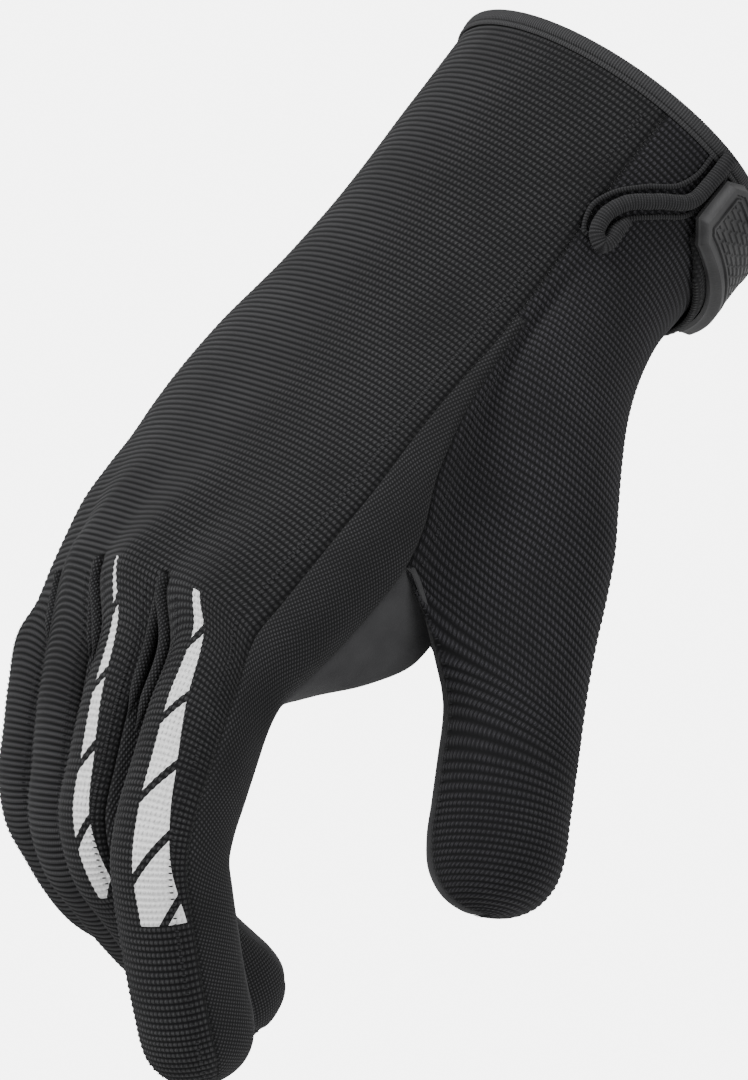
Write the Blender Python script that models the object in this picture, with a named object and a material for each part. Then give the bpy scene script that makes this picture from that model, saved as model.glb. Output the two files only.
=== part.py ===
"""Motocross glove for the right hand, in the form it has when worn.

Metres. The origin is the centre of the cuff opening. +Z runs up the arm, +X is the thumb side
and +Y is the palm side, so the fingers point down and curl towards +Y.
"""
import math

import bmesh
import bpy
import numpy as np

# Hand
HAND_LENGTH = 0.136
PALM_WIDTH = 0.090
WRIST_WIDTH = 0.077
WRIST_DEPTH = 0.065
# Fingers and thumb
FINGER_LENGTH = 0.100
FINGER_WIDTH = 0.0209
FINGER_DEPTH = 0.0215
THUMB_LENGTH = 0.048
THUMB_WIDTH = 0.0275
THUMB_DEPTH = 0.0235
# Cloth
WALL = 0.0012
SEAM_GAP = 0.0003
# Cuff binding and the loop round the slit
BINDING_HEIGHT = 0.0033
BINDING_WIDTH = 0.0031
LOOP_LENGTH = 0.034
# Strap and badge. Their ends are angles in degrees from the middle of the back, towards the thumb.
STRAP_WIDTH = 0.020
STRAP_THICKNESS = 0.0014
STRAP_LIFT = 0.0007
STRAP_TOP = 0.0030
STRAP_SLOPE = 0.006
STRAP_START = 98
STRAP_END = 232
STRAP_BEVEL = 0.0003
BADGE_WIDTH = 0.0155
BADGE_THICKNESS = 0.0030
BADGE_START = 92
BADGE_END = 164
BADGE_BEVEL = 0.0012

# Sections down the hand, from the binding to the knuckle line. down is a share of HAND_LENGTH. width
# says how far the section is from WRIST_WIDTH (0) to PALM_WIDTH (1). shift is a share of PALM_WIDTH
# towards the thumb. depth, back (how high the back of the hand lies over the wrist's axis), arch (fall
# of the little finger's side), ridge (knuckles) and lean (how much lower the palm lies than the back)
# are shares of WRIST_DEPTH. seam, side and palm are angles in degrees from the middle of the back: the
# back's seam, the gusset past it and the palm's edge.
SECTIONS = [
    dict(down=0.00, width=0.00, shift=0.00, depth=1.00, back=1.00, arch=0.00, ridge=0.00, lean=0.00,
         seam=63, side=3, palm=150),
    dict(down=0.15, width=-0.05, shift=0.00, depth=1.00, back=0.98, arch=0.00, ridge=0.00, lean=0.00,
         seam=63, side=3, palm=150),
    dict(down=0.30, width=0.08, shift=0.01, depth=1.03, back=0.96, arch=0.00, ridge=0.00, lean=0.00,
         seam=62, side=3, palm=149),
    dict(down=0.42, width=0.30, shift=0.02, depth=0.96, back=0.94, arch=0.00, ridge=0.00, lean=0.00,
         seam=62, side=4, palm=148),
    dict(down=0.54, width=0.60, shift=0.03, depth=0.78, back=0.92, arch=0.00, ridge=0.00, lean=0.02,
         seam=62, side=9, palm=147),
    dict(down=0.66, width=0.85, shift=0.045, depth=0.66, back=0.92, arch=0.01, ridge=0.00, lean=0.04,
         seam=62, side=20, palm=146),
    dict(down=0.76, width=1.00, shift=0.05, depth=0.62, back=0.92, arch=0.03, ridge=0.00, lean=0.07,
         seam=62, side=34, palm=146),
    dict(down=0.88, width=1.00, shift=0.045, depth=0.56, back=0.93, arch=0.06, ridge=0.02, lean=0.12,
         seam=63, side=45, palm=150),
    dict(down=1.00, width=0.92, shift=0.035, depth=0.49, back=0.93, arch=0.13, ridge=0.04, lean=0.20,
         seam=64, side=52, palm=157),
]
ULNAR_SEAM = -76
PALM_END = 252
ARCH_CENTRE = 0.4

# Fingers from the little finger to the index. bones are shares of FINGER_LENGTH from the web to the
# tip. width and depth are shares of FINGER_WIDTH and FINGER_DEPTH. bend is each joint's flexion, fan
# leans the finger to the thumb side and turn twists its curl that way, in degrees. edge is the angle of
# the back strip's thumb-side seam.
FINGERS = [
    dict(name="little", bones=(0.33, 0.21, 0.21), width=0.90, depth=0.92,
         bend=(35, 42, 26), fan=3, turn=7, edge=45),
    dict(name="ring", bones=(0.41, 0.28, 0.25), width=0.97, depth=0.98,
         bend=(36, 50, 15), fan=5, turn=5, edge=45),
    dict(name="middle", bones=(0.405, 0.29, 0.25), width=1.01, depth=1.03,
         bend=(26, 58, 11), fan=7, turn=3, edge=45),
    dict(name="index", bones=(0.40, 0.24, 0.235), width=1.08, depth=1.12,
         bend=(21, 35, 4), fan=9, turn=-3, edge=68),
]

# Thumb. THUMB_BASE lies beside the web: shares of PALM_WIDTH, WRIST_DEPTH and HAND_LENGTH. The seams
# are angles round the thumb from its nail side. The swell starts and ends at shares of HAND_LENGTH.
THUMB_BASE = (0.62, 0.42, -0.817)
THUMB_AIM = (0.30, 0.40, -0.866)
NAIL_SIDE = (0.787, -0.551, -0.276)
THUMB_SEAMS = (-75, 215)
THUMB_SWELL = (0.14, 0.60)
BALL_OF_THUMB = 1.42
WEB_BULGE = 0.70
WEB_FADE = 0.5

# Rows and columns of the loft. Rings of the thumb are shares of its straight part, and the rounded tips
# are stepped in degrees.
ROWS = 18
WEB_ROW = 14
GUSSET_ROW = 7
THUMB_ARC = 12
THUMB_ROWS = (0.20, 0.40, 0.60, 0.80, 1.0)
THUMB_TIP = (28, 52, 72)
FINGER_ROWS = 9
FINGER_TIP = (0, 25, 48, 70)
FINGER_TAPER = 0.95
# Least cosine between the direction in which a wall is built and the faces round its vertex
LEAST_SLOPE = 0.45

# The loop's route on the wrist: angle past the back's seam in degrees, and share of LOOP_LENGTH below
# the cuff edge.
LOOP_ROUTE = [(26, 0.05), (26, 0.25), (25, 0.39), (14.5, 0.57), (6.3, 0.72), (3.5, 0.87), (4.8, 0.97),
              (8, 0.995), (9.3, 0.95), (9.6, 0.865), (10.9, 0.77)]


def lerp(a, b, t):
    return a + (b - a) * t


def smooth(t):
    t = min(1.0, max(0.0, t))
    return t * t * (3 - 2 * t)


def unit(v):
    v = np.asarray(v, float)
    return v / np.linalg.norm(v)


def monotone(xs, ys, x):
    """Smooth curve through a short table that never overshoots it."""
    steps = np.diff(xs)
    slopes = np.diff(ys) / steps
    tangents = np.zeros(len(xs))
    tangents[0], tangents[-1] = slopes[0], slopes[-1]
    for i in range(1, len(xs) - 1):
        if slopes[i - 1] * slopes[i] > 0:
            tangents[i] = 2 * slopes[i - 1] * slopes[i] / (slopes[i - 1] + slopes[i])
    i = int(np.clip(np.searchsorted(xs, x) - 1, 0, len(xs) - 2))
    t = (x - xs[i]) / steps[i]
    return ((2 * t ** 3 - 3 * t ** 2 + 1) * ys[i] + (t ** 3 - 2 * t ** 2 + t) * steps[i] * tangents[i]
            + (3 * t ** 2 - 2 * t ** 3) * ys[i + 1] + (t ** 3 - t ** 2) * steps[i] * tangents[i + 1])


def section(down):
    stations = [row["down"] for row in SECTIONS]
    return {key: float(monotone(stations, [row[key] for row in SECTIONS], down)) for key in SECTIONS[0]}


def section_point(row, angle):
    """Point of a section at an angle from the middle of the back, positive towards the thumb."""
    half_width = lerp(WRIST_WIDTH, PALM_WIDTH, row["width"]) / 2
    half_depth = row["depth"] * WRIST_DEPTH / 2
    power = 2 / lerp(2.0, 2.45, min(1.0, max(0.0, row["width"])))
    s, c = math.sin(math.radians(angle)), math.cos(math.radians(angle))
    across = math.copysign(abs(s) ** power, s)
    deep = -math.copysign(abs(c) ** power, c)
    x = row["shift"] * PALM_WIDTH + half_width * across
    y = (deep + 1) * half_depth - row["back"] * WRIST_DEPTH / 2
    y += row["arch"] * WRIST_DEPTH * (across - ARCH_CENTRE) ** 2
    z = -BINDING_HEIGHT - row["down"] * HAND_LENGTH - row["lean"] * WRIST_DEPTH * (deep + 1) / 2
    return np.array([x, y, z])


def arc(row, first, last, shares):
    """Points of a section at the given shares of the way from one angle to another."""
    samples = [section_point(row, lerp(first, last, k / 60)) for k in range(61)]
    travelled = np.cumsum([0.0] + [np.linalg.norm(b - a) for a, b in zip(samples, samples[1:])])
    places = np.interp(np.array(shares) * travelled[-1], travelled, np.linspace(first, last, 61))
    return [section_point(row, angle) for angle in places]


def finger_shares(fingers):
    """Four columns for each finger, as wide as the finger is in the row of fingers."""
    widths = [finger["width"] for finger in fingers for _ in range(4)]
    return np.concatenate([[0.0], np.cumsum(widths) / sum(widths)])


def even_shares(count):
    return np.linspace(0, 1, count + 1)


def body_ring(down):
    """The 48 points of a section: back 0-16, gusset to 20, thumb to 32, palm to 44, little finger's side."""
    row = section(down)
    edge = row["seam"] + row["side"]
    ring = arc(row, ULNAR_SEAM, row["seam"], finger_shares(FINGERS))
    ring += arc(row, row["seam"], edge, even_shares(4))[1:]
    ring += arc(row, edge, row["palm"], even_shares(THUMB_ARC))[1:]
    ring += arc(row, row["palm"], PALM_END, finger_shares(FINGERS[2::-1]))[1:]
    ring += arc(row, PALM_END, 360 + ULNAR_SEAM, even_shares(4))[1:4]
    for j in range(17):
        knuckle = math.sin(math.pi * (j % 4) / 4) ** 2 - 0.3
        ring[j][1] -= row["ridge"] * WRIST_DEPTH * knuckle
    return ring


def web_points(down, bulge):
    """The three points between gusset and palm below the thumb, drawn towards the thumb by bulge."""
    row = section(down)
    edge = row["seam"] + row["side"]
    points = []
    for j, point in enumerate(arc(row, edge, row["palm"], even_shares(4))[1:4], start=1):
        target = thumb_at_height(math.radians(THUMB_SEAMS[1] + 35), 1.0, point[2])
        point = lerp(point, target, bulge * math.sin(math.pi * j / 4))
        points.append(point)
    return points


def thumb_axes():
    aim = unit(THUMB_AIM)
    pad = -unit(np.array(NAIL_SIDE) - aim * np.dot(NAIL_SIDE, aim))
    return aim, np.cross(aim, pad), pad


def thumb_base():
    x, y, z = THUMB_BASE
    return np.array([x * PALM_WIDTH, y * WRIST_DEPTH, z * HAND_LENGTH])


def thumb_offset(angle, size):
    _, outer, pad = thumb_axes()
    return size * (THUMB_WIDTH / 2 * math.sin(angle) * outer - THUMB_DEPTH / 2 * math.cos(angle) * pad)


def thumb_at_height(angle, size, z):
    aim, _, _ = thumb_axes()
    base, offset = thumb_base(), thumb_offset(angle, size)
    return base + offset + aim * (z - base[2] - offset[2]) / aim[2]


def swell_thumb(ring, down, fade=1.0):
    """Draws the thumb's columns of a ring out onto the ball of the thumb, and less so the palm's edge."""
    first, last = THUMB_SWELL
    weight = fade * smooth((down - first) / (last - first))
    size = lerp(BALL_OF_THUMB, 1.0, smooth((down - 0.30) / 0.45))
    for k in range(1, THUMB_ARC + 2):
        angle = math.radians(lerp(THUMB_SEAMS[0], THUMB_SEAMS[1], k / THUMB_ARC))
        target = thumb_at_height(angle, size, ring[20 + k][2])
        share = weight * smooth(min(k / 2.6, (THUMB_ARC - k + 1.9) / 4.5))
        ring[20 + k] = lerp(ring[20 + k], target, share)
    return ring


class Loft:
    """Collects named points and tagged faces of the whole hand form."""

    def __init__(self):
        self.points = []
        self.faces = []
        self.tags = []

    def ring(self, points):
        start = len(self.points)
        self.points.extend(points)
        return list(range(start, len(self.points)))

    def bridge(self, upper, lower, tag):
        count = len(upper)
        for j in range(count):
            k = (j + 1) % count
            self.faces.append((upper[j], upper[k], lower[k], lower[j]))
            self.tags.append(tag(j))

    def close(self, ring, point, tag):
        pole = self.ring([point])[0]
        for j in range(len(ring)):
            self.faces.append((ring[j], ring[(j + 1) % len(ring)], pole))
            self.tags.append(tag(j))


def upper_tag(row):
    def tag(j):
        if j < 16:
            return "back_panel"
        if j < 20:
            return "thumb_panel" if row < GUSSET_ROW else "index_side_gusset"
        return "thumb_panel" if j < 32 else "palm_panel"
    return tag


def lower_tag(j):
    if j < 16:
        return "back_panel"
    return "index_side_gusset" if j < 20 else "palm_panel"


def thumb_tag(j):
    return "thumb_panel" if j < THUMB_ARC else "palm_panel"


def finger_tag(number):
    names = ["palm_panel", "gusset_ring_little", "gusset_middle_ring", "gusset_index_middle",
             "index_side_gusset"]

    def tag(j):
        if j < 4:
            return "back_panel"
        if j < 8:
            return names[number + 1]
        return "palm_panel" if j < 12 else names[number]
    return tag


def loft_body(loft):
    """Lofts the hand down to the knuckle line, and returns the thumb's opening and the last ring."""
    upper = None
    for i in range(WEB_ROW + 1):
        down = i / ROWS
        ring = loft.ring(swell_thumb(body_ring(down), down))
        if upper:
            loft.bridge(upper, ring, upper_tag(i - 1))
        upper = ring
    web = loft.ring(web_points(WEB_ROW / ROWS, WEB_BULGE))
    opening = upper[20:33] + web[::-1]
    upper = upper[:21] + web + upper[32:]
    for i in range(WEB_ROW + 1, ROWS + 1):
        down = i / ROWS
        fade = 1 - smooth((i - WEB_ROW + 0.4) / 4.4)
        full = swell_thumb(body_ring(down), down, fade)
        points = full[:21] + web_points(down, WEB_BULGE * fade) + full[32:]
        ring = loft.ring(points)
        loft.bridge(upper, ring, lower_tag)
        upper = ring
    return opening, upper


def loft_thumb(loft, opening):
    aim, _, _ = thumb_axes()
    radius = THUMB_WIDTH / 2
    straight = THUMB_LENGTH - radius
    steps = [lerp(THUMB_SEAMS[0], THUMB_SEAMS[1], k / THUMB_ARC) for k in range(THUMB_ARC + 1)]
    steps += [lerp(THUMB_SEAMS[1], THUMB_SEAMS[0] + 360, k / 4) for k in (1, 2, 3)]
    angles = [math.radians(a) for a in steps]
    profile = [(straight * share, 1.0) for share in THUMB_ROWS]
    for cap in THUMB_TIP:
        a = math.radians(cap)
        profile.append((straight + radius * math.sin(a), math.cos(a) ** 0.8))
    starts = [loft.points[k] for k in opening]
    upper = opening
    for along, size in profile:
        points = []
        share = smooth(0.35 + along / (WEB_FADE * THUMB_LENGTH))
        for angle, start in zip(angles, starts):
            offset = thumb_offset(angle, size)
            level = -offset[2] / aim[2] * (1 - smooth(along / (0.63 * THUMB_LENGTH)))
            goal = thumb_base() + aim * (along + level) + offset
            points.append(lerp(start + aim * (goal - start).dot(aim), goal, share))
        ring = loft.ring(points)
        loft.bridge(upper, ring, thumb_tag)
        upper = ring
    loft.close(upper, thumb_base() + aim * THUMB_LENGTH, thumb_tag)


class FingerLine:
    """The bent centre line of a finger, with its palm side and thumb side directions."""

    def __init__(self, finger, start):
        self.finger = finger
        self.bones = [share * FINGER_LENGTH for share in finger["bones"]]
        self.length = sum(self.bones)
        self.along = np.linspace(-0.25 * self.length, 1.25 * self.length, 241)
        step = self.along[1] - self.along[0]
        moves = np.array([self.frame(s + step / 2)[0] * step for s in self.along[:-1]])
        self.points = np.vstack([np.zeros(3), np.cumsum(moves, axis=0)])
        self.points += start - self.at(0.0)

    def flexion(self, s):
        joints = (0.03 * self.length, self.bones[0], self.bones[0] + self.bones[1])
        reach = (0.15 * self.length, 0.09 * self.length, 0.07 * self.length)
        return math.radians(sum(bend * smooth((s - joint + r) / (2 * r))
                                for bend, joint, r in zip(self.finger["bend"], joints, reach)))

    def frame(self, s):
        bend = self.flexion(s)
        fan, turn = math.radians(self.finger["fan"]), math.radians(self.finger["turn"])
        straight = np.array([math.sin(fan), 0.0, -math.cos(fan)])
        curl = np.array([math.sin(turn), math.cos(turn), 0.0])
        aim = unit(math.cos(bend) * straight + math.sin(bend) * curl)
        palm = -math.sin(bend) * straight + math.cos(bend) * curl
        palm = unit(palm - aim * palm.dot(aim))
        return aim, palm, np.cross(aim, palm)

    def at(self, s):
        return np.array([np.interp(s, self.along, self.points[:, k]) for k in range(3)])


def finger_angles(finger):
    back = [lerp(-45, finger["edge"], k / 4) for k in range(5)]
    side = [lerp(finger["edge"], 135, k / 4) for k in (1, 2, 3)]
    return [math.radians(a) for a in back + side + [135 + 22.5 * k for k in range(8)]]


def loft_finger(loft, number, opening):
    finger = FINGERS[number]
    width, depth = FINGER_WIDTH * finger["width"], FINGER_DEPTH * finger["depth"]
    line = FingerLine(finger, sum(loft.points[k] for k in opening) / len(opening))
    radius = width / 2
    tip = line.length - radius
    profile = []
    for m in range(FINGER_ROWS):
        along = lerp(0.12 * line.length, tip - 0.04 * line.length, m / (FINGER_ROWS - 1))
        profile.append((along, lerp(1.0, FINGER_TAPER, along / tip)))
    for cap in FINGER_TIP:
        a = math.radians(cap)
        profile.append((tip + radius * math.sin(a), FINGER_TAPER * math.cos(a) ** 0.85))
    upper = opening
    power = 2 / 2.2
    for along, size in profile:
        lean = 0.5 * depth * (1 - smooth(along / (0.38 * line.length)))
        points = []
        for angle in finger_angles(finger):
            s, c = math.sin(angle), math.cos(angle)
            place = along - c * lean
            _, palm, thumbward = line.frame(place)
            across = math.copysign(abs(s) ** power, s) * width / 2
            deep = math.copysign(abs(c) ** power, c) * depth / 2
            points.append(line.at(place) + size * (across * thumbward - deep * palm))
        ring = loft.ring(points)
        loft.bridge(upper, ring, finger_tag(number))
        upper = ring
    loft.close(upper, line.at(line.length), finger_tag(number))


def loft_hand():
    loft = Loft()
    thumb_opening, last = loft_body(loft)
    loft_thumb(loft, thumb_opening)
    crotches = []
    for number in range(3):
        back, palm = last[4 + 4 * number], last[32 - 4 * number]
        points = [lerp(loft.points[back], loft.points[palm], k / 4) for k in (1, 2, 3)]
        crotches.append(loft.ring(points))
    for number in range(4):
        back = last[4 * number:4 * number + 5]
        start = 32 - 4 * number
        palm = last[start:start + 5]
        thumbward = last[17:20] if number == 3 else crotches[number]
        outward = last[37:40] if number == 0 else crotches[number - 1][::-1]
        loft_finger(loft, number, back + thumbward + palm + outward)
    return loft


def material(name, colour, roughness):
    made = bpy.data.materials.new(name)
    made.use_nodes = True
    shader = made.node_tree.nodes["Principled BSDF"]
    shader.inputs["Base Color"].default_value = (*colour, 1)
    shader.inputs["Roughness"].default_value = roughness
    shader.inputs["Metallic"].default_value = 0.0
    return made


def add_object(name, mesh, collection, made):
    obj = bpy.data.objects.new(name, mesh)
    mesh.materials.append(made)
    mesh.shade_smooth()
    collection.objects.link(obj)
    return obj


def outward(vert):
    """A direction that leaves every face round the vertex, also where the vertex's own normal doesn't."""
    direction = vert.normal.copy()
    sides = [-loop.calc_normal() for loop in vert.link_loops] + [face.normal for face in vert.link_faces]
    for _ in range(40):
        worst = min(sides, key=direction.dot)
        if direction.dot(worst) > LEAST_SLOPE:
            break
        direction = (direction + 0.1 * worst).normalized()
    return direction


def inward_moves(faces):
    """How far each vertex on the edge of a panel moves into it, to leave half of the seam's gap."""
    inside = set(faces)
    moves = {}
    for face in faces:
        middle = face.calc_center_median()
        for edge in face.edges:
            if len(edge.link_faces) < 2 or all(f in inside for f in edge.link_faces):
                continue
            a, b = edge.verts[0].co, edge.verts[1].co
            inward = (b - a).cross(face.normal).normalized()
            if inward.dot(middle - a) < 0:
                inward.negate()
            for vert in edge.verts:
                moves.setdefault(vert, []).append(inward)
    result = {}
    for vert, sides in moves.items():
        total = sum(sides[1:], sides[0].copy())
        spread = max(0.35, total.length_squared / len(sides))
        result[vert] = total * (SEAM_GAP / 2 / spread)
    return result


def add_panel(name, faces, normals, collection, made):
    """A panel of the hand form as a closed solid. Neighbours share their normals, so that their walls stay
    parallel at a seam, which Solidify on the separate panels doesn't give."""
    moves = inward_moves(faces)
    panel = bmesh.new()
    outer, inner = {}, {}
    for vert in dict.fromkeys(v for face in faces for v in face.verts):
        place = vert.co + moves[vert] if vert in moves else vert.co.copy()
        outer[vert] = panel.verts.new(place)
        inner[vert] = panel.verts.new(place - normals[vert] * WALL)
    inside = set(faces)
    for face in faces:
        panel.faces.new([outer[v] for v in face.verts])
        panel.faces.new([inner[v] for v in reversed(face.verts)])
        for loop in face.loops:
            if all(f in inside for f in loop.edge.link_faces) and len(loop.edge.link_faces) > 1:
                continue
            a, b = loop.vert, loop.link_loop_next.vert
            if a.index < b.index:
                panel.faces.new([outer[b], outer[a], inner[b]])
                panel.faces.new([outer[a], inner[a], inner[b]])
            else:
                panel.faces.new([outer[b], outer[a], inner[a]])
                panel.faces.new([outer[b], inner[a], inner[b]])
    mesh = bpy.data.meshes.new(name)
    panel.to_mesh(mesh)
    panel.free()
    return add_object(name, mesh, collection, made)


def add_panels(collection, materials):
    loft = loft_hand()
    bm = bmesh.new()
    verts = [bm.verts.new(point) for point in loft.points]
    groups = {}
    for face, tag in zip(loft.faces, loft.tags):
        groups.setdefault(tag, []).append(bm.faces.new([verts[k] for k in reversed(face)]))
    bm.verts.index_update()
    bm.normal_update()
    normals = {vert: outward(vert) for vert in bm.verts}
    for name, faces in groups.items():
        add_panel(name, faces, normals, collection, materials[name])
    bm.free()


def wrist_point(angle, below, lift):
    """Point over the wrist's surface, below the cuff edge."""
    down = (below - BINDING_HEIGHT) / HAND_LENGTH
    row = section(max(0.0, down))
    point = section_point(row, angle)
    side = section_point(row, angle + 1) - section_point(row, angle - 1)
    outward = unit([-side[1], side[0], 0.0])
    if outward.dot([math.sin(math.radians(angle)), -math.cos(math.radians(angle)), 0]) < 0:
        outward = -outward
    point[2] = -below
    return point + outward * lift


def tube(name, points, radius, cyclic, resolution):
    curve = bpy.data.curves.new(name, "CURVE")
    curve.dimensions = "3D"
    curve.bevel_depth = radius
    curve.bevel_resolution = resolution
    curve.use_fill_caps = not cyclic
    spline = curve.splines.new("POLY")
    spline.points.add(len(points) - 1)
    spline.use_cyclic_u = cyclic
    for slot, point in zip(spline.points, points):
        slot.co = (*point, 1)
    obj = bpy.data.objects.new(name, curve)
    bpy.context.scene.collection.objects.link(obj)
    bpy.context.view_layer.update()
    depsgraph = bpy.context.evaluated_depsgraph_get()
    mesh = bpy.data.meshes.new_from_object(obj.evaluated_get(depsgraph))
    bpy.data.objects.remove(obj)
    bm = bmesh.new()
    bm.from_mesh(mesh)
    bmesh.ops.remove_doubles(bm, verts=bm.verts, dist=0.00001)
    bm.to_mesh(mesh)
    bm.free()
    return mesh


def loop_points():
    """The slit loop's centre line, rounded between its route's points."""
    seam = SECTIONS[0]["seam"]
    clear = BINDING_WIDTH / 2 + SEAM_GAP
    route = [(seam + angle, share * LOOP_LENGTH) for angle, share in LOOP_ROUTE]
    points = []
    for k in range(len(route) - 1):
        before, after = route[max(0, k - 1)], route[min(len(route) - 1, k + 2)]
        for t in (0.0, 1 / 3, 2 / 3):
            place = []
            for a, b, c, d in zip(before, route[k], route[k + 1], after):
                curve = 2 * a - 5 * b + 4 * c - d + t * (3 * (b - c) + d - a)
                place.append(b + 0.5 * t * (c - a + t * curve))
            points.append(wrist_point(place[0], place[1], clear))
    points.append(wrist_point(*route[-1], clear))
    return points


def add_binding(collection, made):
    rim = [wrist_point(360 * k / 48, BINDING_HEIGHT / 2, -WALL / 2) for k in range(48)]
    ring = add_object("cuff_binding", tube("cuff_ring", rim, BINDING_WIDTH / 2, True, 2), collection, made)
    guides = bpy.data.collections.new("guides")
    bpy.context.scene.collection.children.link(guides)
    loop = add_object("slit_loop", tube("slit_loop", loop_points(), BINDING_WIDTH / 2, False, 2), guides, made)
    loop.hide_render = True
    loop.display_type = "WIRE"
    join = ring.modifiers.new("join loop", "BOOLEAN")
    join.operation = "UNION"
    join.object = loop


def add_band(name, first, last, half_width, bottom, thickness, bevel, columns, collection, made):
    """A flat band wrapped round the wrist between two angles. half_width(t) gives its half width along it."""
    bm = bmesh.new()
    rings = []
    for k in range(columns + 1):
        t = k / columns
        angle = lerp(first, last, t)
        middle = band_middle(angle)
        half = half_width(t)
        outline = [(-half, 0), (half, 0), (half, thickness - bevel), (half - bevel, thickness),
                   (bevel - half, thickness), (-half, thickness - bevel)]
        places = [wrist_point(angle, middle + down, bottom + lift) for down, lift in outline]
        rings.append([bm.verts.new(place) for place in places])
    for upper, lower in zip(rings, rings[1:]):
        for j in range(6):
            bm.faces.new([upper[j], upper[(j + 1) % 6], lower[(j + 1) % 6], lower[j]])
    bm.faces.new(rings[0][::-1])
    bm.faces.new(rings[-1])
    bmesh.ops.recalc_face_normals(bm, faces=bm.faces)
    mesh = bpy.data.meshes.new(name)
    bm.to_mesh(mesh)
    bm.free()
    return add_object(name, mesh, collection, made)


def band_middle(angle):
    share = (angle - BADGE_START) / (BADGE_END - BADGE_START)
    return STRAP_TOP + BADGE_WIDTH / 2 + STRAP_SLOPE * min(1.0, share)


def add_strap(collection, strap_material, badge_material):
    def strap_half(t):
        return STRAP_WIDTH / 2 * min(1.0, 0.72 + 2.2 * t)

    def badge_half(t):
        return BADGE_WIDTH / 2 * min(1.0, 0.62 + 4 * t, 0.62 + 4 * (1 - t))

    add_band("wrist_strap", STRAP_START, STRAP_END, strap_half, STRAP_LIFT, STRAP_THICKNESS, STRAP_BEVEL,
             24, collection, strap_material)
    add_band("strap_badge", BADGE_START, BADGE_END, badge_half, STRAP_LIFT + STRAP_THICKNESS + SEAM_GAP,
             BADGE_THICKNESS, BADGE_BEVEL, 20, collection, badge_material)


def main():
    for obj in list(bpy.data.objects):
        bpy.data.objects.remove(obj)
    collection = bpy.data.collections.new("motocross_glove")
    bpy.context.scene.collection.children.link(collection)
    add_panels(collection, {
        "back_panel": material("back knit", (0.028, 0.028, 0.030), 0.85),
        "thumb_panel": material("thumb knit", (0.026, 0.026, 0.029), 0.85),
        "palm_panel": material("palm suede", (0.030, 0.030, 0.031), 0.90),
        "index_side_gusset": material("index mesh", (0.022, 0.022, 0.024), 0.80),
        "gusset_index_middle": material("index and middle mesh", (0.022, 0.022, 0.024), 0.80),
        "gusset_middle_ring": material("middle and ring mesh", (0.022, 0.022, 0.024), 0.80),
        "gusset_ring_little": material("ring and little mesh", (0.022, 0.022, 0.024), 0.80),
    })
    add_binding(collection, material("binding elastic", (0.070, 0.070, 0.072), 0.80))
    add_strap(collection, material("strap webbing", (0.020, 0.020, 0.021), 0.85),
              material("badge rubber", (0.045, 0.045, 0.046), 0.45))


main()
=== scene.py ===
import math

import bmesh
import bpy
import numpy as np
from mathutils import Matrix, Vector
from mathutils.kdtree import KDTree


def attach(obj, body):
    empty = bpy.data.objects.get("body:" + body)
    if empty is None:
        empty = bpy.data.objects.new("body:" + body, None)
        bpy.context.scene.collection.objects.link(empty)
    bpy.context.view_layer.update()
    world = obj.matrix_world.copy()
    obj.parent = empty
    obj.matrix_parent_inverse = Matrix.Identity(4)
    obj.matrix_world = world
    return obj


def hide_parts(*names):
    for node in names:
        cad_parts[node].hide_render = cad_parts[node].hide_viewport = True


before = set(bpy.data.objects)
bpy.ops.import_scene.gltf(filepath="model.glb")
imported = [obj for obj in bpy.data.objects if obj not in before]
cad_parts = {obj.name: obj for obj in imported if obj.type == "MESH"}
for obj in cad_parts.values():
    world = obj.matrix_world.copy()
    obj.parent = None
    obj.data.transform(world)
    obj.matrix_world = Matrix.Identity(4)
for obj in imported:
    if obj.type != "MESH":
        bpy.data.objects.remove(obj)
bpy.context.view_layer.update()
print("frame loaded:", len(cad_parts), "nodes")

# Right-hand motocross glove. Origin at the cuff opening, +X thumb side, +Y palm side, fingers down.
hand = dict(length=0.136, palmWidth=0.090, wristWidth=0.077, wristDepth=0.065, ulnarSeam=-76, palmEnd=252,
            archCentre=0.4, rows=18, webRow=14, gussetRow=7)
fingerSize = dict(length=0.100, width=0.0209, depth=0.0215, taper=0.95, rows=9, tipSteps=(0, 25, 48, 70))
thumb = dict(length=0.048, width=0.0275, depth=0.0235, base=(0.62, 0.42, -0.817), aim=(0.30, 0.40, -0.866),
             nailSide=(0.787, -0.551, -0.276), seams=(-75, 215), swell=(0.14, 0.60), ball=1.42,
             webBulge=0.70, webFade=0.5, columns=12, rows=(0.20, 0.40, 0.60, 0.80, 1.0),
             tipSteps=(28, 52, 72))
binding = dict(height=0.0033, loopLength=0.034, rib=0.0006, ribDepth=0.00008)
sections = [dict(zip(("down", "width", "shift", "depth", "back", "arch", "ridge", "lean", "seam", "side",
                      "palm"), row)) for row in (
    (0.00, 0.00, 0.00, 1.00, 1.00, 0.00, 0.00, 0.00, 63, 3, 150),
    (0.15, -0.05, 0.00, 1.00, 0.98, 0.00, 0.00, 0.00, 63, 3, 150),
    (0.30, 0.08, 0.01, 1.03, 0.96, 0.00, 0.00, 0.00, 62, 3, 149),
    (0.42, 0.30, 0.02, 0.96, 0.94, 0.00, 0.00, 0.00, 62, 4, 148),
    (0.54, 0.60, 0.03, 0.78, 0.92, 0.00, 0.00, 0.02, 62, 9, 147),
    (0.66, 0.85, 0.045, 0.66, 0.92, 0.01, 0.00, 0.04, 62, 20, 146),
    (0.76, 1.00, 0.05, 0.62, 0.92, 0.03, 0.00, 0.07, 62, 34, 146),
    (0.88, 1.00, 0.045, 0.56, 0.93, 0.06, 0.02, 0.12, 63, 45, 150),
    (1.00, 0.92, 0.035, 0.49, 0.93, 0.13, 0.04, 0.20, 64, 52, 157),
)]
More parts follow.
